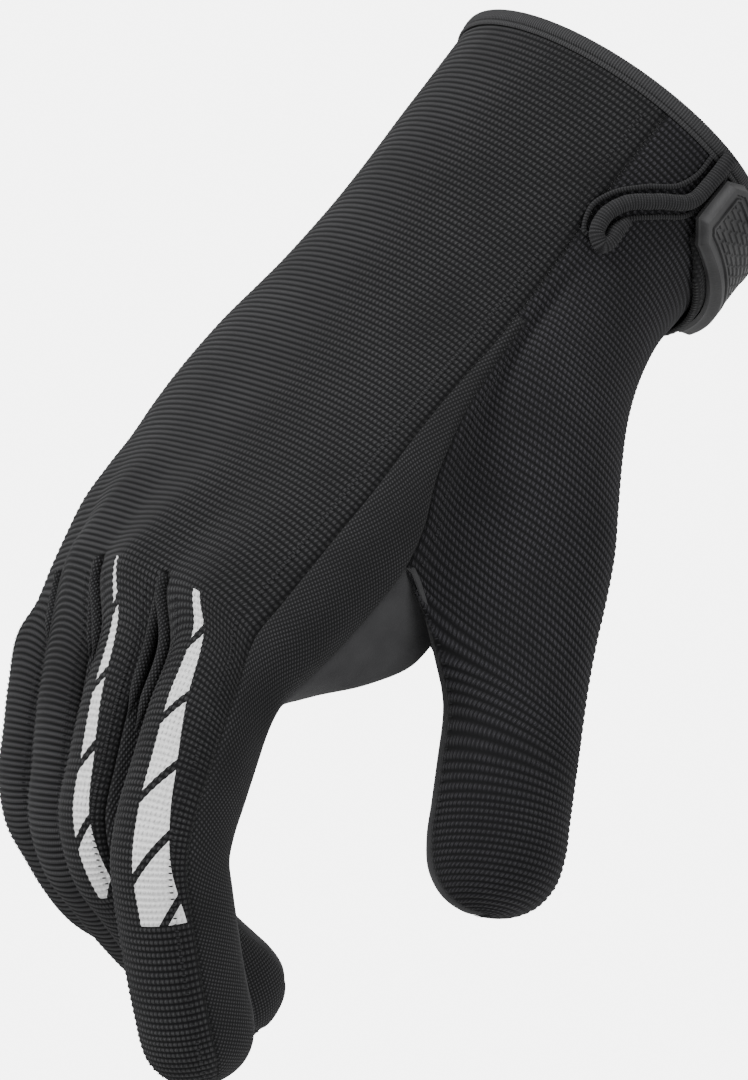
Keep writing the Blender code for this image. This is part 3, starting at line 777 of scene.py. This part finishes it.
def thinAtWeb(piece, centre, reach, least):
    # the cloth's wall is thinner in the tight fold beside the thumb
    group = piece.vertex_groups.new(name="wall share")
    group.add(list(range(len(piece.data.vertices))), 1.0, "REPLACE")
    for v in piece.data.vertices:
        distance = (v.co - centre).length
        if distance < reach:
            group.add([v.index], least + (1 - least) * smooth(distance / reach), "REPLACE")
    piece.modifiers["wall"].vertex_group = group.name


def dress(name, node, slot, strips, material, height=None, **settings):
    piece = addPiece(name, panelMesh(name, strips, height, **settings), material, knit["wall"])
    thinAtWeb(piece, Vector(thumbRingList[0][14]), 0.020, 0.12)
    area = sum(f.area for f in piece.data.polygons)
    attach(piece, "root")
    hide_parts(node)
    pieces[name] = (piece, area)
    return piece


dress("back_cloth", "back_panel", "back_knit", backStrips, backKnit, knitHeight)
dress("thumb_cloth", "thumb_panel", "thumb_knit", thumbStrips, thumbKnit, knitHeight)
dress("palm_cloth", "palm_panel", "suede", palmStrips, palmSuede)
dress("index_side_cloth", "index_side_gusset", "index_mesh", indexSide, gussetMesh)
for strips, node, slot in zip(gussets, ("gusset_ring_little", "gusset_middle_ring", "gusset_index_middle"),
                              ("mesh_ring_little", "mesh_middle_ring", "mesh_index_middle")):
    dress(node + "_cloth", node, slot, strips, gussetMesh, reach=0.0009)

print("binding and loop")


def sweep(name, centres, normals, outline, material, ribLength=0.0, cyclic=False, ends=None):
    # outline: (sideways, outwards) round a path. Ribs cross the path.
    centres, normals = np.array(centres), np.array(normals)
    tangents = np.roll(centres, -1, 0) - np.roll(centres, 1, 0)
    if not cyclic:
        tangents[0], tangents[-1] = centres[1] - centres[0], centres[-1] - centres[-2]
    tangents = unitRows(tangents)
    sides = unitRows(np.cross(tangents, normals))
    outs = np.cross(sides, tangents)
    along, girth = travelled(centres), travelled(np.array(outline))
    bm = bmesh.new()
    layer = bm.loops.layers.uv.new("cloth")
    rings = []
    for i, centre in enumerate(centres):
        swell = 1.0
        if ribLength:
            swell -= 0.5 * binding["ribDepth"] / 0.0015 * (1 - math.cos(2 * math.pi * along[i] / ribLength))
        if ends:
            swell *= ends(along[i] / along[-1])
        ring = [bm.verts.new(centre + swell * (x * sides[i] + y * outs[i])) for x, y in outline]
        rings.append(ring)
    count = len(outline)
    pairs = list(zip(range(len(rings)), range(1, len(rings)))) + ([(len(rings) - 1, 0)] if cyclic else [])
    for i, k in pairs:
        for j in range(count):
            m = (j + 1) % count
            face = bm.faces.new([rings[i][j], rings[i][m], rings[k][m], rings[k][j]])
            ahead = along[i] + 0.0001 if k == 0 else along[k]
            last = girth[-1] + 0.0001 if m == 0 else girth[m]
            places = (along[i], girth[j]), (along[i], last), (ahead, last), (ahead, girth[j])
            for corner, place in zip(face.loops, places):
                corner[layer].uv = place
    if not cyclic:
        bm.faces.new(rings[0][::-1])
        bm.faces.new(rings[-1])
    return closedPiece(name, bm, material)


def oval(wide, high, step):
    return [(wide * math.cos(a), high * math.sin(a)) for a in np.radians(np.arange(0, 360, step))]


def outwardAt(angle, below):
    near, far = wristPoint(angle, below, 0.0), wristPoint(angle, below, 0.001)
    return unit(far - near)


rimOutline = []
for k in range(20):
    a = math.radians(18 * k)
    s, c = math.sin(a), math.cos(a)
    rimOutline.append((math.copysign(abs(c) ** 0.7, c) * 0.00150, math.copysign(abs(s) ** 0.8, s) * 0.00125))
rimAngles = np.arange(0, 360, 0.25)
rim = sweep("cuff_tape", [wristPoint(a, 0.0016, -0.0004) for a in rimAngles],
            [outwardAt(a, 0.002) for a in rimAngles], rimOutline, elastic, binding["rib"], cyclic=True)
chainOutline = oval(0.00055, 0.00045, 45)
chain = sweep("cuff_chain_stitch", [wristPoint(a, 0.0036, 0.0002) for a in rimAngles],
              [outwardAt(a, 0.002) for a in rimAngles], chainOutline, elastic, binding["rib"], cyclic=True)


def routePoints(route, steps, lift):
    start, perDegree = sections[0]["seam"], 0.00062
    flat = np.array([(angle * perDegree, share * binding["loopLength"], 0) for angle, share in route])
    places = [(start + x / perDegree, y) for x, y, _ in
              alongRing(flat, np.linspace(0, len(route) - 1, steps), closed=False)]
    return [wristPoint(a, below, lift) for a, below in places], [outwardAt(a, below) for a, below in places]


loopCentres, loopNormals = routePoints(loopRoute, 700, 0.0018)
loop = sweep("slit_loop_roll", loopCentres, loopNormals, oval(0.00165, 0.00155, 20), loopElastic,
             binding["rib"] * 0.8, ends=lambda t: min(1.0, 0.35 + 9 * (1 - t)) ** 0.5)
borderRoute = [(31, 0.10), (31, 0.27), (29, 0.45), (19, 0.62), (10.5, 0.77), (6.0, 0.93), (1.5, 0.99),
               (-1.5, 0.86), (1.5, 0.70), (9, 0.54), (19, 0.37), (21.5, 0.25), (21.5, 0.12)]
borderCentres, borderNormals = routePoints(borderRoute, 420, 0.00035)
border = sweep("slit_border_stitch", borderCentres, borderNormals, chainOutline, loopElastic, binding["rib"])
for piece in (rim, chain, loop, border):
    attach(piece, "root")
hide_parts("cuff_binding")
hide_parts("cuff_binding")

print("folds between the fingers")
fold = dict(reach=0.030, radius=0.0012, apart=0.0013, lift=0.0002)


def addFold(name, leftGrid, rightGrid, length):
    # a soft roll of mesh cloth round the top of the gap between two fingers
    step = np.linalg.norm(np.diff(leftGrid[bodyLines:, -1], axis=0), axis=1).mean()
    count = int(length / step)
    leftSide = leftGrid[bodyLines + 2:bodyLines + count]
    rightSide = rightGrid[bodyLines + 2:bodyLines + count]
    left, right = leftSide[:, -1][::-1], rightSide[:, 0]
    outLeft = unitRows(np.cross(leftSide[:, -3] - leftSide[:, -1], np.gradient(leftSide[:, -1], axis=0)))
    outLeft = outLeft[::-1]
    outRight = unitRows(np.cross(rightSide[:, 0] - rightSide[:, 2], np.gradient(rightSide[:, 0], axis=0)))
    n = min(len(left), len(right))
    left, right, outLeft, outRight = left[-n:], right[:n], outLeft[-n:], outRight[:n]
    across = right - left[::-1]
    gap = np.linalg.norm(across, axis=1, keepdims=True)
    across = across / np.maximum(gap, 1e-6)
    move = np.minimum(fold["apart"], gap / 2)
    leftPath = left + (across * move)[::-1] + outLeft * fold["lift"]
    rightPath = right - across * move + outRight * fold["lift"]
    top = (leftGrid[bodyLines - 3, -1] + rightGrid[bodyLines - 3, 0])[None] / 2
    topOut = unitRows(outLeft[-1:] + outRight[:1])
    path = np.concatenate([leftPath, top + topOut * fold["lift"], rightPath])
    outs = np.concatenate([outLeft, topOut, outRight])
    places = np.linspace(0, len(path) - 1, 260)
    for _ in range(12):
        path[1:-1] = (path[:-2] + 2 * path[1:-1] + path[2:]) / 4
        outs[1:-1] = (outs[:-2] + 2 * outs[1:-1] + outs[2:]) / 4
    centres = alongRing(path, places, closed=False)
    normals = unitRows(alongRing(outs, places, closed=False))
    piece = sweep(name, centres, normals, oval(fold["radius"], fold["radius"], 24), gussetMesh,
                  ends=lambda t: 0.25 + 0.75 * smooth(8 * min(t, 1 - t)))
    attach(piece, "root")


addFold("fold_index_middle", backGrids[2][0], backGrids[3][0], fold["reach"])
addFold("fold_middle_ring", backGrids[1][0], backGrids[2][0], fold["reach"] * 0.6)
addFold("fold_ring_little", backGrids[0][0], backGrids[1][0], fold["reach"] * 0.5)

print("strap and badge")
strap = dict(start=98, end=232, width=0.020, thickness=0.0014, lift=0.0007, top=0.0030, slope=0.006)
badge = dict(start=92, end=164, width=0.0155, thickness=0.0030, rim=0.0011, brick=(0.0034, 0.0013))


def bandMiddle(angle):
    share = (angle - badge["start"]) / (badge["end"] - badge["start"])
    return strap["top"] + badge["width"] / 2 + strap["slope"] * min(1.0, share)


def wrapSlab(name, first, last, half, bottom, relief, columns, rows, material):
    # a band round the wrist whose thickness follows relief(x, y, edge) in metres
    path = [wristPoint(lerp(first, last, k / 40), 0.01, 0) for k in range(41)]
    length = sum(np.linalg.norm(b - a) for a, b in zip(path, path[1:]))
    bm = bmesh.new()
    layer = bm.loops.layers.uv.new("cloth")
    top, under, uv = [], [], {}
    for i in range(columns + 1):
        t = i / columns
        angle = lerp(first, last, t)
        middle, wide = bandMiddle(angle), half(t)
        topRow, underRow = [], []
        for j in range(rows + 1):
            y = lerp(-wide, wide, j / rows)
            x = t * length
            edge = min(x, length - x, wide - abs(y))
            height = relief(x, y, edge, length, wide)
            topRow.append(bm.verts.new(wristPoint(angle, middle + y, bottom + height)))
            underRow.append(bm.verts.new(wristPoint(angle, middle + y, bottom)))
            uv[topRow[-1]] = uv[underRow[-1]] = (x, y)
        top.append(topRow)
        under.append(underRow)
    for i in range(columns):
        for j in range(rows):
            bm.faces.new([top[i][j], top[i][j + 1], top[i + 1][j + 1], top[i + 1][j]])
            bm.faces.new([under[i][j], under[i + 1][j], under[i + 1][j + 1], under[i][j + 1]])
    for i in range(columns):
        for j, order in ((0, 1), (rows, -1)):
            bm.faces.new([top[i][j], top[i + 1][j], under[i + 1][j], under[i][j]][::order])
    for j in range(rows):
        for i, order in ((0, -1), (columns, 1)):
            bm.faces.new([top[i][j], top[i][j + 1], under[i][j + 1], under[i][j]][::order])
    for face in bm.faces:
        for corner in face.loops:
            corner[layer].uv = uv[corner.vert]
    return closedPiece(name, bm, material)


def strapRelief(x, y, edge, length, wide):
    weave = 0.00008 * math.cos(2 * math.pi * x / 0.0022) * math.cos(2 * math.pi * y / 0.0014)
    return strap["thickness"] * (0.35 + 0.65 * min(1.0, max(0.0, edge) / 0.0006) ** 0.5) + weave


def badgeRelief(x, y, edge, length, wide):
    full = badge["thickness"]
    if edge < 0.0012:
        return full * (0.30 + 0.70 * smooth(edge / 0.0012))
    if edge < 0.0012 + badge["rim"] or 0.0030 < edge < 0.0036:
        return full
    if edge < 0.0036:
        return full - 0.0005
    long, high = badge["brick"]
    row = math.floor(y / high)
    inX = abs((x / long + 0.5 * (row % 2)) % 1 - 0.5)
    inY = abs((y / high) % 1 - 0.5)
    return full - 0.00055 + (0.00035 if inX < 0.38 and inY < 0.30 else 0.0)


strapPiece = wrapSlab("strap_cloth", strap["start"], strap["end"],
                      lambda t: strap["width"] / 2 * min(1.0, 0.72 + 2.2 * t), strap["lift"], strapRelief,
                      260, 28, webbing)
badgePiece = wrapSlab("badge_tab", badge["start"], badge["end"],
                      lambda t: badge["width"] / 2 * min(1.0, 0.62 + 4 * t, 0.62 + 4 * (1 - t)),
                      strap["lift"] + strap["thickness"] + 0.0003, badgeRelief, 240, 80, rubber)
badgePiece.data.set_sharp_from_angle(angle=0.5)
for piece, node, slot in ((strapPiece, "wrist_strap", "strap_webbing"),
                          (badgePiece, "strap_badge", "badge_rubber")):
    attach(piece, "root")
    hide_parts(node)

print("stitches")
stitch = dict(spacing=0.0013, length=0.0009, width=0.00034, height=0.00014)


def stitchTree(material):
    tree = bpy.data.node_groups.new("stitch rows", "GeometryNodeTree")
    face = tree.interface
    face.new_socket("Points", in_out="INPUT", socket_type="NodeSocketGeometry")
    names = ("Stitch Length", "Stitch Width", "Stitch Height")
    for name in names:
        face.new_socket(name, in_out="INPUT", socket_type="NodeSocketFloat")
    face.new_socket("Stitches", in_out="OUTPUT", socket_type="NodeSocketGeometry")
    new, link = tree.nodes.new, tree.links.new
    source, target = new("NodeGroupInput"), new("NodeGroupOutput")
    ball = new("GeometryNodeMeshUVSphere")
    ball.inputs["Segments"].default_value = 8
    ball.inputs["Rings"].default_value = 5
    ball.inputs["Radius"].default_value = 0.5
    size = new("ShaderNodeCombineXYZ")
    for k, name in enumerate(names):
        link(source.outputs[name], size.inputs[k])
    turn = None
    for name, axis, pivot in (("along", "X", "AUTO"), ("up", "Z", "X")):
        value = new("GeometryNodeInputNamedAttribute")
        value.data_type = "FLOAT_VECTOR"
        value.inputs["Name"].default_value = name
        align = new("FunctionNodeAlignRotationToVector")
        align.axis, align.pivot_axis = axis, pivot
        link(value.outputs["Attribute"], align.inputs["Vector"])
        if turn:
            link(turn.outputs["Rotation"], align.inputs["Rotation"])
        turn = align
    spread = new("GeometryNodeInstanceOnPoints")
    link(source.outputs["Points"], spread.inputs["Points"])
    link(ball.outputs["Mesh"], spread.inputs["Instance"])
    link(turn.outputs["Rotation"], spread.inputs["Rotation"])
    link(size.outputs["Vector"], spread.inputs["Scale"])
    real = new("GeometryNodeRealizeInstances")
    finish = new("GeometryNodeSetMaterial")
    finish.inputs["Material"].default_value = material
    link(spread.outputs["Instances"], real.inputs["Geometry"])
    link(real.outputs["Geometry"], finish.inputs["Geometry"])
    link(finish.outputs["Geometry"], target.inputs["Stitches"])
    return tree


def threadMaterial():
    s = Shader("seam thread", 0.7, Sheen_Weight=0.03)
    twist = s.noise(4000, 3)
    shade = s.mix(twist, (0.008, 0.008, 0.009), (0.028, 0.028, 0.030))
    return s.finish(shade, twist, 0.0001, 0.65 + twist * 0.2)


thread = threadMaterial()
stitchRows = stitchTree(thread)


def stitchPoints(grid, column, fromRow, slant=0.15, lift=0.00004):
    # stitches along one line of a strip, each lying across it at a slant
    toRow = len(grid) - 1
    line = grid[fromRow:toRow, column]
    inner = grid[fromRow:toRow, column + 1]
    tangent = unitRows(np.gradient(line, axis=0))
    side = inner - line
    side = unitRows(side - (side * tangent).sum(1)[:, None] * tangent)
    up = np.cross(tangent, side)
    far = travelled(line)
    rows = []
    for d in np.arange(0.5, far[-1] / stitch["spacing"]) * stitch["spacing"]:
        point, ahead, across, away = (np.array([np.interp(d, far, a[:, k]) for k in range(3)])
                                      for a in (line, tangent, side, up))
        rows.append((point + unit(away) * lift, unit(across + slant * ahead), unit(away)))
    return rows


def stitchPiece(name, rows, slot, **sizes):
    mesh = bpy.data.meshes.new(name)
    mesh.from_pydata([tuple(r[0]) for r in rows], [], [])
    for key, k in (("along", 1), ("up", 2)):
        made = mesh.attributes.new(key, "FLOAT_VECTOR", "POINT")
        made.data.foreach_set("vector", np.array([r[k] for r in rows]).ravel())
    piece = addObject(name, mesh)
    modifier = piece.modifiers.new("stitches", "NODES")
    modifier.node_group = stitchRows
    values = {**stitch, **sizes}
    for item in stitchRows.interface.items_tree:
        key = {"Stitch Length": "length", "Stitch Width": "width", "Stitch Height": "height"}.get(item.name)
        if key:
            modifier[item.identifier] = values[key]
    bpy.context.view_layer.update()
    made = bpy.data.meshes.new_from_object(piece.evaluated_get(bpy.context.evaluated_depsgraph_get()))
    piece.modifiers.clear()
    piece.data = made
    made.shade_smooth()
    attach(piece, "root")
    return piece


seamRows = stitchPoints(backGrids[3][0], backGrids[3][0].shape[1] - 3, 12)
for n in range(4):
    seamRows += stitchPoints(backGrids[n][0], 2, bodyLines + 10 if n else 12)
    if n < 3:
        seamRows += stitchPoints(backGrids[n][0], 10, bodyLines + 10)
stitchPiece("back_seam_stitches", seamRows, "back_knit")
thumbSeams = stitchPoints(thumbGrid, 2, sideLines)
thumbSeams += stitchPoints(thumbGrid, thumbGrid.shape[1] - 3, 12)
thumbSeams += stitchPoints(sideGrid, 2, 12)
stitchPiece("thumb_seam_stitches", thumbSeams, "thumb_knit")

print("camera, floor and light")
shot = dict(azimuth=55, elevation=-16, roll=39, distance=2.4, centre=(0.0154, -0.0954), height=0.2160,
            floor=-1.0)
az, el, roll = (math.radians(shot[k]) for k in ("azimuth", "elevation", "roll"))
r = Vector((math.cos(az), math.sin(az), 0))
u = Vector((-math.sin(az) * math.sin(el), math.cos(az) * math.sin(el), math.cos(el)))
back = r.cross(u)
right = r * math.cos(roll) + u * math.sin(roll)
top = u * math.cos(roll) - r * math.sin(roll)
middle = r * shot["centre"][0] + u * shot["centre"][1]
camera = addObject("camera", bpy.data.cameras.new("camera"))
camera.data.lens = 36 * shot["distance"] / shot["height"]
camera.data.clip_start = 0.01
camera.matrix_world = Matrix.Translation(middle + back * shot["distance"]) @ Matrix(
    (right, top, back)).transposed().to_4x4()
bpy.context.scene.camera = camera

light = dict(key=15.0, fill=6.0, world=0.75, backdrop=6.0)


def areaLight(name, place, size, power):
    lamp = addObject(name, bpy.data.lights.new(name, "AREA"))
    lamp.data.shape = "DISK"
    lamp.data.size = size
    lamp.data.energy = power
    aim = (middle - place).to_track_quat("-Z", "Y")
    lamp.matrix_world = Matrix.Translation(place) @ aim.to_matrix().to_4x4()


areaLight("key light", middle + back * 0.5 - right * 0.7 + top * 0.8, 0.5, light["key"])
areaLight("fill light", middle + back * 0.7 + right * 0.8 - top * 0.1, 0.9, light["fill"])
world = bpy.data.worlds.new("studio")
world.use_nodes = True
world.node_tree.nodes["Background"].inputs[0].default_value = (1, 1, 1, 1)
sky = world.node_tree.nodes["Background"].inputs[1]
path = world.node_tree.nodes.new("ShaderNodeLightPath")
glow = world.node_tree.nodes.new("ShaderNodeMapRange")
glow.inputs["To Min"].default_value = light["world"]
glow.inputs["To Max"].default_value = light["backdrop"]
world.node_tree.links.new(path.outputs["Is Camera Ray"], glow.inputs["Value"])
world.node_tree.links.new(glow.outputs["Result"], sky)
bpy.context.scene.world = world
floorMesh = bpy.data.meshes.new("studio_floor")
corners = [(x, y, shot["floor"]) for x, y in ((-6, -6), (6, -6), (6, 6), (-6, 6))]
floorMesh.from_pydata(corners, [], [(0, 1, 2, 3)])
floorShader = Shader("studio floor", 0.9)
speck = floorShader.noise(3, 2)
floor = addPiece("studio_floor", floorMesh,
                 floorShader.finish(floorShader.mix(speck, (0.90, 0.90, 0.90), (0.93, 0.93, 0.93))))

print("sheets and sizes")
flats = {"back_cloth": (0.130, 0.215), "thumb_cloth": (0.120, 0.165), "palm_cloth": (0.140, 0.225),
         "index_side_cloth": (0.030, 0.165), "gusset_ring_little_cloth": (0.020, 0.160),
         "gusset_middle_ring_cloth": (0.022, 0.185), "gusset_index_middle_cloth": (0.022, 0.185)}
for name, (width, length) in flats.items():
    piece, area = pieces[name]
    print(name, round(area, 5), round(width * length, 5))
